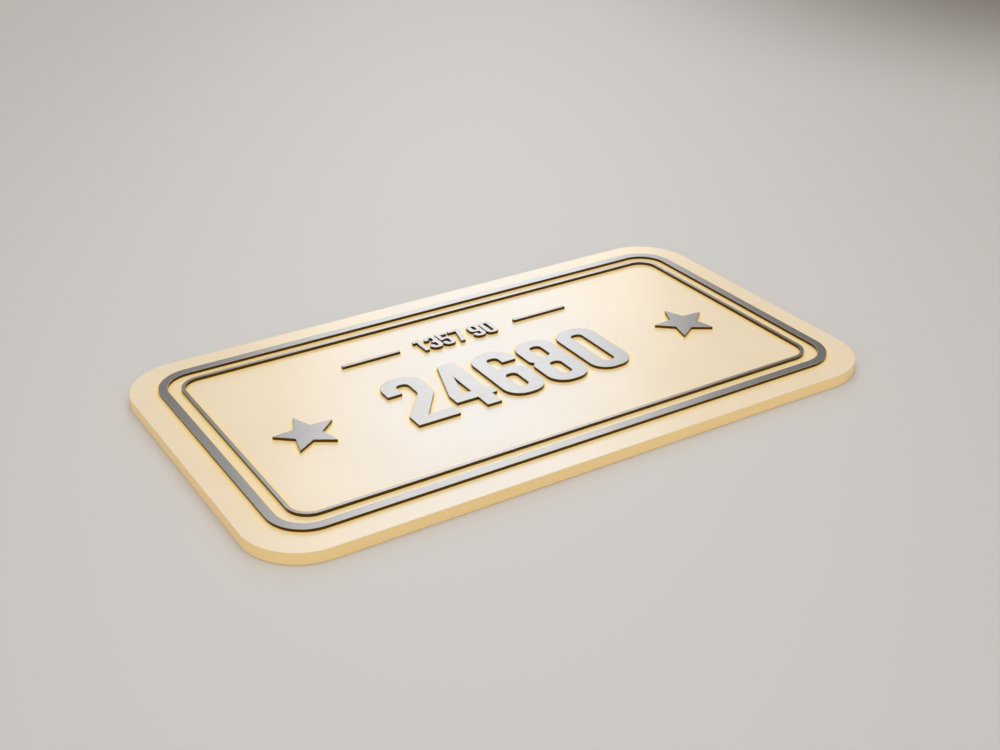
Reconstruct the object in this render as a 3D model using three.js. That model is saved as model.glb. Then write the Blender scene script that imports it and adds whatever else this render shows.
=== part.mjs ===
// A door name plate: a flat plate with round corners that carries raised trim on its face.
// The trim is a wide border, a thin border inside it, two rules beside the heading line
// and a star at each end of the name line.
//
// The origin is the middle of the plate's back. +X runs along the plate, in the reading
// direction, +Y to its top edge and +Z out of its face. All sizes are in millimetres.

import * as THREE from 'three';

// The plate
const plateLength = 160;
const plateHeight = 90;
const plateThickness = 3;
const plateCornerRadius = 14;

// How far all trim stands out of the plate's face
const trimHeight = 0.8;

// The borders: the outer one is placed from the plate's edge, the inner one from the outer one
const outerBorderInset = 6.3;
const outerBorderWidth = 2.1;
const outerBorderCornerRadius = 9.2;
const borderGap = 2.85;
const innerBorderWidth = 0.8;
const innerBorderCornerRadius = 5.4;

// The two lines of lettering: the heading line hangs from the inner border, the name line from it
const headingDrop = 12.75;
const linePitch = 23.3;

// The rules stand to the left and right of the heading line, in line with it
const ruleLength = 15.6;
const ruleWidth = 0.9;
const headingGap = 32.8;

// The stars stand at the ends of the name line, placed from the inner border
const starPoints = 5;
const starTipRadius = 7.65;
const starNotchRadius = 3.4;
const starInset = 15.55;

// Straight pieces in each quarter of a round corner, an even count
const cornerSegments = 24;

// The space inside the inner border, where the lettering stands
const innerBorderInset = outerBorderInset + outerBorderWidth + borderGap;
const fieldInset = innerBorderInset + innerBorderWidth;
const fieldHalfLength = plateLength / 2 - fieldInset;
const fieldHalfHeight = plateHeight / 2 - fieldInset;
const headingLineY = fieldHalfHeight - headingDrop;
const nameLineY = headingLineY - linePitch;

const gold = new THREE.MeshStandardMaterial({ color: '#e9c98d', roughness: 0.3, metalness: 1 });
const steel = new THREE.MeshStandardMaterial({ color: '#b4b4b4', roughness: 0.2, metalness: 1 });

const doorNamePlate = new THREE.Group();

// The rectangle that lies a given inset inside the plate's outline, with round corners
function roundedRectangle(inset, cornerRadius) {
  const halfLength = plateLength / 2 - inset;
  const halfHeight = plateHeight / 2 - inset;
  const quarterTurn = Math.PI / 2;
  const outline = new THREE.Shape();
  [[1, 1], [-1, 1], [-1, -1], [1, -1]].forEach(([sideX, sideY], corner) => {
    const arcX = sideX * (halfLength - cornerRadius);
    const arcY = sideY * (halfHeight - cornerRadius);
    outline.absarc(arcX, arcY, cornerRadius, corner * quarterTurn, (corner + 1) * quarterTurn);
  });
  return outline;
}

// A star with straight edges and one tip straight up, around its own centre
function starOutline() {
  const corners = Array.from({ length: 2 * starPoints }, (_, corner) => {
    const radius = corner % 2 === 0 ? starTipRadius : starNotchRadius;
    const angle = Math.PI / 2 + corner * Math.PI / starPoints;
    return new THREE.Vector2(radius * Math.cos(angle), radius * Math.sin(angle));
  });
  return new THREE.Shape(corners);
}

// A piece with straight walls. An arc of its outline gets two straight pieces per curve segment
function addFlatPiece(name, outline, thickness, material, x, y, z) {
  const walls = { depth: thickness, bevelEnabled: false, curveSegments: cornerSegments / 2 };
  const piece = new THREE.Mesh(new THREE.ExtrudeGeometry(outline, walls), material);
  piece.name = name;
  piece.position.set(x, y, z);
  doorNamePlate.add(piece);
}

// Trim lies face to face on the plate
function addTrim(name, outline, x = 0, y = 0) {
  addFlatPiece(name, outline, trimHeight, steel, x, y, plateThickness);
}

// A border keeps its width round the corners, so its inside corner radius is the smaller one
function addBorder(name, inset, width, cornerRadius) {
  const outline = roundedRectangle(inset, cornerRadius);
  outline.holes.push(roundedRectangle(inset + width, cornerRadius - width));
  addTrim(name, outline);
}

function ruleOutline() {
  const halfLength = ruleLength / 2;
  const halfWidth = ruleWidth / 2;
  return new THREE.Shape([
    new THREE.Vector2(-halfLength, -halfWidth),
    new THREE.Vector2(halfLength, -halfWidth),
    new THREE.Vector2(halfLength, halfWidth),
    new THREE.Vector2(-halfLength, halfWidth),
  ]);
}

addFlatPiece('base_plate', roundedRectangle(0, plateCornerRadius), plateThickness, gold, 0, 0, 0);
addBorder('outer_border', outerBorderInset, outerBorderWidth, outerBorderCornerRadius);
addBorder('inner_border', innerBorderInset, innerBorderWidth, innerBorderCornerRadius);

// A star's tip reaches further from its centre than its feet do: its middle is level with the line
const starFootDepth = starTipRadius * Math.cos(Math.PI / starPoints);
const starY = nameLineY - (starTipRadius - starFootDepth) / 2;
const starX = fieldHalfLength - starInset;
const ruleX = (headingGap + ruleLength) / 2;

for (const [side, direction] of [['left', -1], ['right', 1]]) {
  addTrim(`${side}_rule`, ruleOutline(), direction * ruleX, headingLineY);
  addTrim(`${side}_star`, starOutline(), direction * starX, starY);
}

export default doorNamePlate;
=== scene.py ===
import math

import bpy
import numpy as np
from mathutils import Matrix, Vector
from mathutils.geometry import tessellate_polygon


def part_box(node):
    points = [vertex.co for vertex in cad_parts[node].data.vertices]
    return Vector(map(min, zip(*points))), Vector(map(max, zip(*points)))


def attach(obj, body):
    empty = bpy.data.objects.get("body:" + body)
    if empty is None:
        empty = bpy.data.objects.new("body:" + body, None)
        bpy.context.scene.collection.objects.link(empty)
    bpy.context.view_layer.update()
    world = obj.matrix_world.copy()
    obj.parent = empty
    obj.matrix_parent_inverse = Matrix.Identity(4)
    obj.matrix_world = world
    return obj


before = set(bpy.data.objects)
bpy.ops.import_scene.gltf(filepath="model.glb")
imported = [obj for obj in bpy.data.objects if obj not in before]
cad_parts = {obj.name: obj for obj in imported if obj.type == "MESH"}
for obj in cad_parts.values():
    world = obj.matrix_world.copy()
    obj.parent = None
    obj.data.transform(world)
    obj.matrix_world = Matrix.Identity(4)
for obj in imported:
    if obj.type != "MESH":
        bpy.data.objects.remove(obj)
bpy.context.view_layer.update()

millimetre = 0.001
plateLow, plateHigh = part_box("base_plate")
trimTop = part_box("outer_border")[1].z
print("loaded", len(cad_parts), "nodes, plate", [round(side, 4) for side in plateHigh - plateLow])


def addObject(name, data):
    # A new object in the scene, at the origin
    added = bpy.data.objects.new(name, data)
    bpy.context.scene.collection.objects.link(added)
    return added


# Shader nodes

def addNode(tree, kind, inputs=None, **settings):
    # A shader node. An input is a number, a colour or another node's output
    node = tree.nodes.new("ShaderNode" + kind)
    for name, value in settings.items():
        setattr(node, name, value)
    for name, value in (inputs or {}).items():
        if isinstance(value, bpy.types.NodeSocket):
            tree.links.new(value, node.inputs[name])
        else:
            node.inputs[name].default_value = value
    return node


def linear(red, green, blue):
    # A screen colour from 0 to 255 as the linear colour that a shader takes, by the sRGB curve
    share = np.array([red, green, blue]) / 255
    value = np.where(share <= 0.04045, share / 12.92, ((share + 0.055) / 1.055) ** 2.4)
    return (*value.tolist(), 1)


def newMaterial(name):
    material = bpy.data.materials.new(name)
    material.use_nodes = True
    return material, material.node_tree, material.node_tree.nodes["Principled BSDF"]


def maths(tree, kind, first, second):
    return addNode(tree, "Math", {0: first, 1: second}, operation=kind).outputs[0]


def between(tree, value, low, high, fromLow=0.0, fromHigh=1.0):
    # A value taken from one range to another, and held at its ends. Low and high may be outputs too
    node = addNode(tree, "MapRange", {"Value": value, "From Min": fromLow, "From Max": fromHigh,
                                      "To Min": low, "To Max": high})
    return node.outputs[0]


def fade(tree, value, near=0.0, far=1.0):
    # Rises smoothly from 0 at the near value to 1 at the far one
    node = addNode(tree, "MapRange", {"Value": value, "From Min": near, "From Max": far},
                   interpolation_type="SMOOTHSTEP")
    return node.outputs[0]


def blend(tree, share, first, second):
    # Two colours mixed by a share from 0 to 1
    node = addNode(tree, "Mix", data_type="RGBA")
    for socket, value in ((node.inputs[0], share), (node.inputs[6], first), (node.inputs[7], second)):
        if isinstance(value, bpy.types.NodeSocket):
            tree.links.new(value, socket)
        else:
            socket.default_value = value
    return node.outputs[2]


def noise(tree, size, stretch=(1, 1, 1), detail=2.0):
    # Noise from 0 to 1 with spots of about this size in millimetres, longer by stretch along x, y and z
    place = addNode(tree, "TexCoord").outputs["Object"]
    scale = [1 / (size * millimetre * longer) for longer in stretch]
    spots = addNode(tree, "Mapping", {"Vector": place, "Scale": scale})
    return addNode(tree, "TexNoise", {"Vector": spots.outputs[0], "Scale": 1.0, "Detail": detail}).outputs[0]


def relief(tree, height, depth):
    # A bent normal for a height from 0 to 1 that stands for this depth in millimetres
    node = addNode(tree, "Bump", {"Height": height, "Distance": depth * millimetre, "Strength": 1.0})
    return node.outputs[0]


def upwards(tree):
    # How far the surface faces up or down: 1 on the face and the back, 0 on the walls
    normal = addNode(tree, "TexCoord").outputs["Normal"]
    height = addNode(tree, "SeparateXYZ", {0: normal}).outputs["Z"]
    return addNode(tree, "Math", {0: height}, operation="ABSOLUTE").outputs[0]


def reachFrom(tree, centre, radii, turn=0.0):
    # How far a point lies from the centre of an ellipse, seen from above: 0 there and 1 on the ellipse.
    # The centre and the radii are in millimetres, and turn is its angle, clockwise from +Y, in degrees
    place = addNode(tree, "TexCoord").outputs["Object"]
    x, y, across, along = (side * millimetre for side in (*centre, *radii))
    ellipse = addNode(tree, "Mapping", {"Vector": place, "Location": (x, y, 0), "Scale": (across, along, 1),
                                        "Rotation": (0, 0, -math.radians(turn))}, vector_type="TEXTURE")
    return addNode(tree, "VectorMath", {0: ellipse.outputs[0]}, operation="LENGTH").outputs["Value"]


# Metals. Sizes are in millimetres and colours are screen colours. A level is how far the surface
# faces up, from 0 on the walls to 1 on the face

noiseSpan = (0.3, 0.7)  # where most of a noise lies
twoNoiseSpan = (0.7, 1.3)  # where most of the sum of two lies

goldFinish = {
    "colour": (232, 213, 183),
    "driftColour": (230, 211, 179),
    # Painted highlight: a slanted patch across the middle of the face is painted paler
    "paintedHighlightColour": (224, 217, 209),
    "paintedHighlightPlace": (-6, -1),
    "paintedHighlightRadius": (54, 120),  # across and along the painted highlight patch
    "paintedHighlightTurn": 33,  # degrees, clockwise from +Y
    # Painted lighting tone: the plate's walls get a deeper, brighter gold than the face, painted for how
    # light falls on them
    "paintedWallTone": (255, 222, 155),
    "faceLevel": (0.1, 0.4),  # where the face's finish starts, and where it is full
    "edgeColour": (243, 228, 201),
    "edgeShare": 0.5,
    "edgeSlant": (0.1, 0.25),  # level times 1 - level, which is never over 0.25
    # Painted glow: a deeper, brighter yellow on the face beside the trim, found by ambient occlusion
    "paintedGlowColour": (255, 222, 138),
    "paintedGlowReach": 2.4,
    "paintedGlowOpenness": (0.7, 0.97),  # how open a point is where the painted glow is full, and where it ends
    "paintedGlowSamples": 8,
    "paintedGlowMetallic": 0.0,
    "metallic": 0.47,
    "wallMetallic": 0.1,
    "roughness": (0.63, 0.72),
    "coatWeight": 0.49,
    "coatRoughness": 0.22,
    "coatIor": 1.5,
    "driftSize": 22.0,
    "driftDetail": 3.0,
    "grainSize": 0.35,
    "grainDepth": 0.0015,
}

steelFinish = {
    "colour": (148, 143, 139),
    "streakColour": (144, 139, 135),
    "edgeColour": (204, 202, 198),
    "edgeLevel": (0.85, 0.98),  # where the lighter edge, partly wear and partly a painted highlight, is full, and where it ends
    "edgeMetallic": 0.4,
    # Painted shade: the trim's walls are painted dark brown
    "paintedWallTone": (86, 63, 20),
    "topLevel": (0.15, 0.35),  # where the top's finish starts, and where it is full
    "roughness": (0.3, 0.34),
    "wallRoughness": 0.25,
    "streakSize": 0.18,
    "streakStretch": 40.0,
    "streakDepth": 0.0003,
    "mottleSize": 2.5,
    "mottleDetail": 4.0,
}


def makeGold():
    # Satin gold lacquer: a slow drift in tone, a fine grain, a painted highlight that makes a slanted patch
    # over the middle paler, walls painted a deeper gold as a painted lighting tone, lighter edges, and a
    # painted glow of deeper yellow on the face beside the trim
    finish = goldFinish
    material, tree, shader = newMaterial("satinGold")
    drift = noise(tree, finish["driftSize"], detail=finish["driftDetail"])
    grain = noise(tree, finish["grainSize"])
    level = upwards(tree)
    onFace = between(tree, level, 0, 1, *finish["faceLevel"])
    place = addNode(tree, "TexCoord").outputs["Object"]
    height = addNode(tree, "SeparateXYZ", {0: place}).outputs["Z"]
    onFront = maths(tree, "GREATER_THAN", height, plateHigh.z / 2)

    drifted = blend(tree, between(tree, drift, 0, 1, *noiseSpan),
                    linear(*finish["colour"]), linear(*finish["driftColour"]))
    # Painted highlight: the face is paler inside a slanted ellipse over its middle
    outsidePaintedLight = fade(tree, reachFrom(tree, finish["paintedHighlightPlace"], finish["paintedHighlightRadius"], finish["paintedHighlightTurn"]))
    withPaintedHighlight = blend(tree, outsidePaintedLight, linear(*finish["paintedHighlightColour"]), drifted)
    # Painted glow: the face turns a deeper yellow and less metallic where ambient occlusion finds it hemmed
    # in by the trim
    opening = addNode(tree, "AmbientOcclusion", {"Distance": finish["paintedGlowReach"] * millimetre},
                      samples=finish["paintedGlowSamples"]).outputs["AO"]
    paintedGlow = maths(tree, "MULTIPLY", onFront, between(tree, opening, 1, 0, *finish["paintedGlowOpenness"]))
    face = blend(tree, paintedGlow, withPaintedHighlight, linear(*finish["paintedGlowColour"]))
    # The walls take the painted lighting tone, and the face takes its own colour
    flat = blend(tree, onFace, linear(*finish["paintedWallTone"]), face)
    slant = maths(tree, "MULTIPLY", level, maths(tree, "SUBTRACT", 1.0, level))
    edge = between(tree, slant, 0, finish["edgeShare"], *finish["edgeSlant"])
    tree.links.new(blend(tree, edge, flat, linear(*finish["edgeColour"])), shader.inputs["Base Color"])

    rough = between(tree, maths(tree, "ADD", drift, grain), *finish["roughness"], *twoNoiseSpan)
    tree.links.new(rough, shader.inputs["Roughness"])
    faceMetallic = between(tree, paintedGlow, finish["metallic"], finish["paintedGlowMetallic"])
    metallic = between(tree, onFace, finish["wallMetallic"], faceMetallic)
    tree.links.new(metallic, shader.inputs["Metallic"])
    tree.links.new(relief(tree, grain, finish["grainDepth"]), shader.inputs["Normal"])
    shader.inputs["Coat Weight"].default_value = finish["coatWeight"]
    shader.inputs["Coat Roughness"].default_value = finish["coatRoughness"]
    shader.inputs["Coat IOR"].default_value = finish["coatIor"]
    return material


def makeSteel():
    # Steel brushed along x, with lighter edges that are partly wear and partly a painted highlight, and
    # walls painted dark brown as painted shade
    finish = steelFinish
    material, tree, shader = newMaterial("brushedSteel")
    streak = noise(tree, finish["streakSize"], (finish["streakStretch"], 1, 1))
    mottle = noise(tree, finish["mottleSize"], detail=finish["mottleDetail"])
    level = upwards(tree)
    onTop = between(tree, level, 0, 1, *finish["topLevel"])
    edge = between(tree, level, 1, 0, *finish["edgeLevel"])

    tone = between(tree, maths(tree, "ADD", streak, mottle), 0, 1, *twoNoiseSpan)
    face = blend(tree, tone, linear(*finish["colour"]), linear(*finish["streakColour"]))
    # Lighter edges: partly wear, partly a painted highlight
    edgeWearAndHighlight = blend(tree, edge, face, linear(*finish["edgeColour"]))
    # The walls take the painted dark brown shade; the top takes the brushed face and its lighter edges
    tree.links.new(blend(tree, onTop, linear(*finish["paintedWallTone"]), edgeWearAndHighlight), shader.inputs["Base Color"])

    topRoughness = between(tree, streak, *finish["roughness"], *noiseSpan)
    rough = between(tree, onTop, finish["wallRoughness"], topRoughness)
    tree.links.new(rough, shader.inputs["Roughness"])
    onEdge = maths(tree, "MULTIPLY", edge, onTop)
    tree.links.new(between(tree, onEdge, 1, finish["edgeMetallic"]), shader.inputs["Metallic"])
    tree.links.new(relief(tree, streak, finish["streakDepth"]), shader.inputs["Normal"])
    return material


gold = makeGold()
steel = makeSteel()
print("made the gold and the steel")


# Edges

edgeForm = {
    "plateWidth": 0.15,  # millimetres
    "trimWidth": 0.06,  # millimetres
    "steps": 3,
    "sharpAngle": 35,  # degrees: a turn of more than this is an edge
    "flatAngle": 0.3,  # degrees: faces that turn less than this are one
    "weldDistance": 1e-6,  # metres
    "flatWeight": 100,  # keeps the flat faces flat beside their rounded edges
}


def softenEdges(piece, width):
    # Welds the piece, joins each flat face into one, and rounds its edges
    piece.modifiers.new("weld", "WELD").merge_threshold = edgeForm["weldDistance"]
    flatFaces = piece.modifiers.new("flatFaces", "DECIMATE")
    flatFaces.decimate_type = "DISSOLVE"
    flatFaces.angle_limit = math.radians(edgeForm["flatAngle"])
    edge = piece.modifiers.new("edge", "BEVEL")
    edge.width = width * millimetre
    edge.segments = edgeForm["steps"]
    edge.limit_method = "ANGLE"
    edge.angle_limit = math.radians(edgeForm["sharpAngle"])
    piece.modifiers.new("normals", "WEIGHTED_NORMAL").weight = edgeForm["flatWeight"]


for name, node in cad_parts.items():
    isPlate = name == "base_plate"
    node.data.materials.clear()
    node.data.materials.append(gold if isPlate else steel)
    softenEdges(node, edgeForm["plateWidth"] if isPlate else edgeForm["trimWidth"])
print("finished the plate and its trim")


# Digits. They are drawn in units of their own and scaled to the height of their line

digitForm = {
    "width": 10.0,
    "height": 22.0,
    "stem": 3.5,
    "bar": 3.2,
    "bowlRadius": 4.4,
    "counterRadius": 1.3,
    "shoulderRadius": 3.4,
    "waistRadius": 1.6,
    "notchRadius": 0.4,
    "cornerSteps": 12,
    "leastStep": 1e-6,  # nearer points of an outline are one
}

# The lines of digits, in millimetres. x and y are a line's middle
nameLine = {
    "digits": "24680",
    "height": 22.0,
    "widthScale": 1.07,
    "gap": 1.6,
    "space": 4.0,
    "x": 0.0,
    "y": -3.1,
}

headingLine = {
    "digits": "1357 90",
    "height": 6.2,
    "widthScale": 1.15,
    "gap": 0.35,
    "space": 1.55,
    "x": -0.9,
    "y": 20.0,
}


def roundCorners(corners):
    # A closed outline through (x, y, radius) corners, each rounded by an arc of its radius. A point of
    # the arc is the centre plus a vector turned evenly from one tangent point to the other
    x, y, radius = np.array(corners, float).T
    point = np.stack([x, y], 1)
    back = np.roll(point, 1, 0) - point
    ahead = np.roll(point, -1, 0) - point
    back /= np.linalg.norm(back, axis=1)[:, None]
    ahead /= np.linalg.norm(ahead, axis=1)[:, None]
    half = np.arccos(np.clip((back * ahead).sum(1), -1, 1)) / 2
    middle = back + ahead
    middle /= np.linalg.norm(middle, axis=1)[:, None]
    centre = point + middle * (radius / np.sin(half))[:, None]
    start = point + back * (radius / np.tan(half))[:, None] - centre
    end = point + ahead * (radius / np.tan(half))[:, None] - centre
    turn = (np.pi - 2 * half)[:, None, None]
    share = np.linspace(0, 1, digitForm["cornerSteps"] + 1)[None, :, None]
    arc = (np.sin((1 - share) * turn) * start[:, None] + np.sin(share * turn) * end[:, None]) / np.sin(turn)
    outline = (centre[:, None] + arc).reshape(-1, 2)
    step = np.linalg.norm(outline - np.roll(outline, 1, 0), axis=1)
    return outline[step > digitForm["leastStep"]]


def roundedBox(low, high, radius):
    # The corners of an upright box, all rounded alike
    return [(low[0], low[1], radius), (high[0], low[1], radius),
            (high[0], high[1], radius), (low[0], high[1], radius)]


def digitOutlines():
    # Each digit's outer outline, then its counters, as corners with radii. Its lower left is 0, 0
    width, height, stem, bar = (digitForm[key] for key in ("width", "height", "stem", "bar"))
    bowl, counter, shoulder, waist, notch = (
        digitForm[key + "Radius"] for key in ("bowl", "counter", "shoulder", "waist", "notch"))
    left, right, top = stem, width - stem, height - bar  # a counter's sides and top
    middle = height / 2
    return {
        "0": [roundedBox((0, 0), (width, height), bowl), roundedBox((left, bar), (right, top), counter)],
        "1": [[(4.4, 0, 0), (4.4 + stem, 0, 0), (4.4 + stem, height, 0), (5.2, height, 0), (1.6, 19.6, 0),
               (1.6, 16.2, 0), (4.4, 17.4, 0)]],
        "2": [[(0, 0, 0), (width, 0, 0), (width, bar, 0), (3.9, bar, 0), (width, 12.2, 3),
               (width, height, bowl), (0, height, bowl), (0, 14.8, 0), (left, 14.8, 0),
               (left, top, counter), (right, top, counter), (right, 13.2, 2.4), (0, 4.6, 1)]],
        "3": [[(0, 0, bowl), (width, 0, bowl), (width, middle - 0.4, waist),
               (width - 1.4, middle + 0.3, notch), (width, middle + 1, waist), (width, height, bowl),
               (0, height, bowl), (0, 15.4, 0), (left, 15.4, 0), (left, top, counter),
               (right, top, counter), (right, 12.9, counter), (4.1, 12.9, 0), (4.1, 9.8, 0),
               (right, 9.8, counter), (right, bar, counter), (left, bar, counter), (left, 6.6, 0),
               (0, 6.6, 0)]],
        "4": [[(5.2, 0, 0), (5.2 + stem, 0, 0), (5.2 + stem, 4.3, 0), (width, 4.3, 0), (width, 7.5, 0),
               (5.2 + stem, 7.5, 0), (5.2 + stem, height, 0), (4.4, height, 0), (0, 8, 0), (0, 4.3, 0),
               (5.2, 4.3, 0)],
              [(3.1, 7.5, 0), (5.2, 7.5, 0), (5.2, 15.6, 0)]],
        "5": [[(0, 0, bowl), (width, 0, bowl), (width, 14, shoulder), (3.4, 14, 0), (3.4, top, 0),
               (9.2, top, 0), (9.2, height, 0), (0.1, height, 0), (0.1, 10, 0), (3.4, 10, 0),
               (3.4, 10.9, notch), (right, 10.9, counter), (right, bar, counter), (left, bar, counter),
               (left, 6.6, 0), (0, 6.6, 0)]],
        "6": [[(0, 0, bowl), (width, 0, bowl), (width, 13.2, shoulder), (left, 13.2, 0),
               (left, top, counter), (right, top, counter), (right, 15.8, 0), (width, 15.8, 0),
               (width, height, bowl), (0, height, bowl)],
              roundedBox((left, bar), (right, 10.1), counter)],
        "7": [[(2.2, 0, 0), (5.9, 0, 0), (width, 18.4, 0), (width, height, 0), (0, height, 0), (0, top, 0),
               (6.3, top, 0)]],
        "8": [[(0, 0, bowl), (width, 0, bowl), (width, middle - 0.4, waist),
               (width - 1.3, middle + 0.3, notch), (width - 0.2, middle + 1, waist),
               (width - 0.2, height, bowl), (0.2, height, bowl), (0.2, middle + 1, waist),
               (1.3, middle + 0.3, notch), (0, middle - 0.4, waist)],
              roundedBox((left, bar), (right, 9.8), counter),
              roundedBox((left, 12.9), (right, top), counter)],
        "9": [[(width, height, bowl), (0, height, bowl), (0, 8.8, shoulder), (right, 8.8, 0),
               (right, bar, counter), (left, bar, counter), (left, 6.2, 0), (0, 6.2, 0), (0, 0, bowl),
               (width, 0, bowl)],
              roundedBox((left, 11.9), (right, top), counter)],
    }


def raisedPiece(name, loops, low, high):
    # A flat piece with upright walls: the outlines at two heights, their walls and the caps between them
    outline = np.concatenate(loops)
    count = len(outline)
    height = np.repeat([low, high], count)
    vertices = np.column_stack([np.tile(outline, (2, 1)), height])
    walls = []
    first = 0
    for loop in loops:
        here = first + np.arange(len(loop))
        ahead = np.roll(here, -1)
        walls += np.stack([here, ahead, ahead + count, here + count], 1).tolist()
        first += len(loop)
    caps = np.array(tessellate_polygon([[Vector((x, y, 0)) for x, y in loop] for loop in loops]))
    corner = outline[caps]
    side = np.cross(corner[:, 1] - corner[:, 0], corner[:, 2] - corner[:, 0])
    caps = np.where(side[:, None] > 0, caps, caps[:, ::-1])
    mesh = bpy.data.meshes.new(name)
    mesh.from_pydata(vertices.tolist(), [], walls + (caps + count).tolist() + caps[:, ::-1].tolist())
    mesh.validate()
    return addObject(name, mesh)


def setLine(label, line):
    # Sets a line of digits, centred on its place. Neighbours are a gap apart, and a space has its own width
    outlines = digitOutlines()
    scaleY = line["height"] / digitForm["height"]
    scaleX = scaleY * line["widthScale"]
    digitStep = digitForm["width"] * scaleX + line["gap"]
    steps = [line["space"] if mark == " " else digitStep for mark in line["digits"]]
    x = line["x"] - (sum(steps) - line["gap"]) / 2
    y = line["y"] - line["height"] / 2
    for place, (mark, step) in enumerate(zip(line["digits"], steps), 1):
        if mark != " ":
            loops = [roundCorners(corners) * (scaleX, scaleY) + (x, y) for corners in outlines[mark]]
            outer, *counters = [loop * millimetre for loop in loops]
            loops = [outer] + [counter[::-1] for counter in counters]
            digit = raisedPiece(f"{label}_{place}", loops, plateHigh.z, trimTop)
            digit.data.materials.append(steel)
            softenEdges(digit, edgeForm["trimWidth"])
            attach(digit, "root")
        x += step


setLine("name_digit", nameLine)
setLine("heading_digit", headingLine)
print("set the two lines of digits")


# Floor, camera and lights

floorForm = {
    "flatRadius": 3.0,  # metres
    "reach": 20.0,  # metres
    "rise": 1.5,  # metres
    "rings": 8,
    "sides": 64,
}

floorPaint = {
    "roughness": 0.6,
    "specular": 0.2,
    # Painted light and shade: the colour is the lit floor inside the painted light patch, the falloff colour
    # lies past it, and the far colour is a painted shadow
    "colour": (200, 196, 191),
    "paintedLightPlace": (19.4, 48.8),  # millimetres
    "paintedLightRadius": (249, 603),  # millimetres, across and along the painted light patch
    "paintedLightTurn": 32,  # degrees, clockwise from +Y
    "paintedFalloffColour": (182, 176, 170),
    "paintedShadowColour": (110, 102, 92),
    "paintedShadowPlace": (495, 215),  # millimetres
    "paintedShadowRadius": (40, 285),  # millimetres: where the painted shadow is full, and where it ends
}


def makeFloorPaint():
    # Painted light and shade: a painted pool of light around the plate, darker past an ellipse, and a
    # painted shadow darkest near one place at the side
    material, tree, shader = newMaterial("floorPaint")
    paint = floorPaint
    # Painted pool of light round the plate, then the painted shadow near one place at the side
    outsidePaintedLight = fade(tree, reachFrom(tree, paint["paintedLightPlace"], paint["paintedLightRadius"], paint["paintedLightTurn"]))
    near, clear = paint["paintedShadowRadius"]
    paintedShadowShare = fade(tree, reachFrom(tree, paint["paintedShadowPlace"], (clear, clear)), near / clear)
    tone = blend(tree, outsidePaintedLight, linear(*paint["colour"]), linear(*paint["paintedFalloffColour"]))
    tree.links.new(blend(tree, paintedShadowShare, linear(*paint["paintedShadowColour"]), tone), shader.inputs["Base Color"])
    shader.inputs["Roughness"].default_value = paint["roughness"]
    shader.inputs["Specular IOR Level"].default_value = paint["specular"]
    return material


def makeFloor():
    # A plain round floor: level out to its flat radius, and past that its height is the rise times
    # the square of the share of the way to its rim, so that a low camera sees no horizon
    share = np.linspace(0, 1, floorForm["rings"] + 1)
    radius = floorForm["flatRadius"] + share * (floorForm["reach"] - floorForm["flatRadius"])
    angle = np.linspace(0, 2 * np.pi, floorForm["sides"], endpoint=False)
    height = np.outer(floorForm["rise"] * share ** 2, np.ones(floorForm["sides"]))
    vertices = np.stack([np.outer(radius, np.cos(angle)), np.outer(radius, np.sin(angle)), height], -1)
    here = np.arange(height.size).reshape(height.shape)
    ahead = np.roll(here, -1, 1)
    slopes = np.stack([here[:-1], here[1:], ahead[1:], ahead[:-1]], -1)
    faces = [here[0].tolist()] + slopes.reshape(-1, 4).tolist()
    mesh = bpy.data.meshes.new("floor")
    mesh.from_pydata(vertices.reshape(-1, 3).tolist(), [], faces)
    mesh.shade_smooth()
    mesh.materials.append(makeFloorPaint())
    floor = addObject("floor", mesh)


def direction(azimuth, elevation):
    # The way from the plate to a place at that azimuth, clockwise from +Y, and height over the floor
    turn, rise = math.radians(azimuth), math.radians(elevation)
    return Vector((math.sin(turn) * math.cos(rise), math.cos(turn) * math.cos(rise), math.sin(rise)))


view = {
    "azimuth": 31.97,  # degrees
    "elevation": 28.12,  # degrees
    "distance": 335.7,  # millimetres
    "aim": (-1.54, -2.28, 3.0),  # millimetres
    "lens": 50.93,  # millimetres, on a sensor of this width
    "sensor": 36.0,
}


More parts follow.
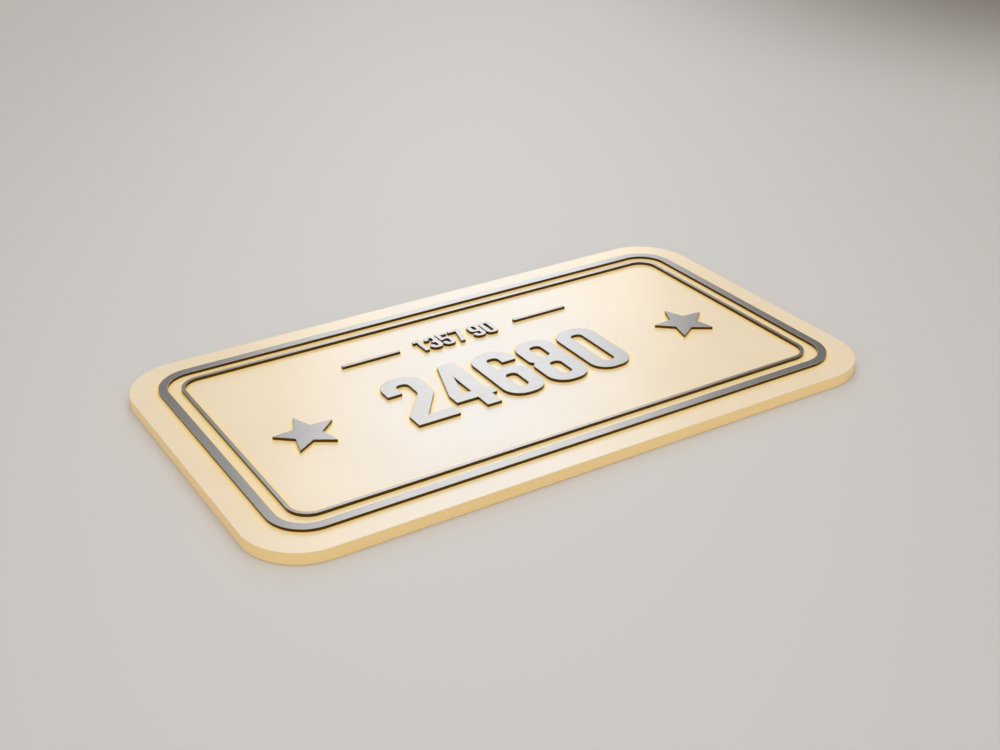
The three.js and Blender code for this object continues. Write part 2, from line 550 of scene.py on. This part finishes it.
def makeCamera():
    data = bpy.data.cameras.new("camera")
    data.lens = view["lens"]
    data.sensor_width = view["sensor"]
    camera = addObject("camera", data)
    back = direction(view["azimuth"] + 180, view["elevation"])
    camera.location = Vector(view["aim"]) * millimetre + back * view["distance"] * millimetre
    camera.rotation_euler = (-back).to_track_quat("-Z", "Y").to_euler()
    bpy.context.scene.camera = camera


lamps = {
    "backSoftbox": {
        "azimuth": 30.5,  # degrees
        "elevation": 29,  # degrees
        "distance": 2.2,  # metres
        "size": (0.66, 1.18),  # metres
        "radiance": 3.29,
        "colour": (0.93, 1.0, 1.06),
    },
    "overhead": {
        "azimuth": 0,
        "elevation": 90,
        "distance": 1.1,
        "size": (1.27, 1.27),
        "radiance": 1.38,
        "colour": (1.0, 1.0, 1.0),
    },
}


def makeLamp(name, lamp):
    # A softbox that faces the plate. Its power is pi times its area times its radiance
    data = bpy.data.lights.new(name, "AREA")
    data.shape = "RECTANGLE"
    data.size, data.size_y = lamp["size"]
    data.energy = math.pi * data.size * data.size_y * lamp["radiance"]
    data.color = lamp["colour"]
    light = addObject(name, data)
    way = direction(lamp["azimuth"], lamp["elevation"])
    light.location = way * lamp["distance"]
    light.rotation_euler = way.to_track_quat("Z", "Y").to_euler()


surroundings = {
    "ahead": 0.225,
    "behind": 1.01,
    "azimuth": 32.0,
}


def makeWorld():
    # A studio that brightens evenly from the wall ahead to the wall behind the camera
    world = bpy.data.worlds.new("studio")
    bpy.context.scene.world = world
    world.use_nodes = True
    tree = world.node_tree
    place = addNode(tree, "TexCoord").outputs["Generated"]
    way = direction(surroundings["azimuth"], 0)
    facing = addNode(tree, "VectorMath", {0: place, 1: way}, operation="DOT_PRODUCT").outputs["Value"]
    strength = between(tree, facing, surroundings["behind"], surroundings["ahead"], -1, 1)
    background = tree.nodes["Background"]
    background.inputs["Color"].default_value = (1, 1, 1, 1)
    tree.links.new(strength, background.inputs["Strength"])


makeFloor()
makeCamera()
for name, lamp in lamps.items():
    makeLamp(name, lamp)
makeWorld()
bpy.context.scene.view_settings.view_transform = "Standard"
print("set the floor, the camera and the lights")
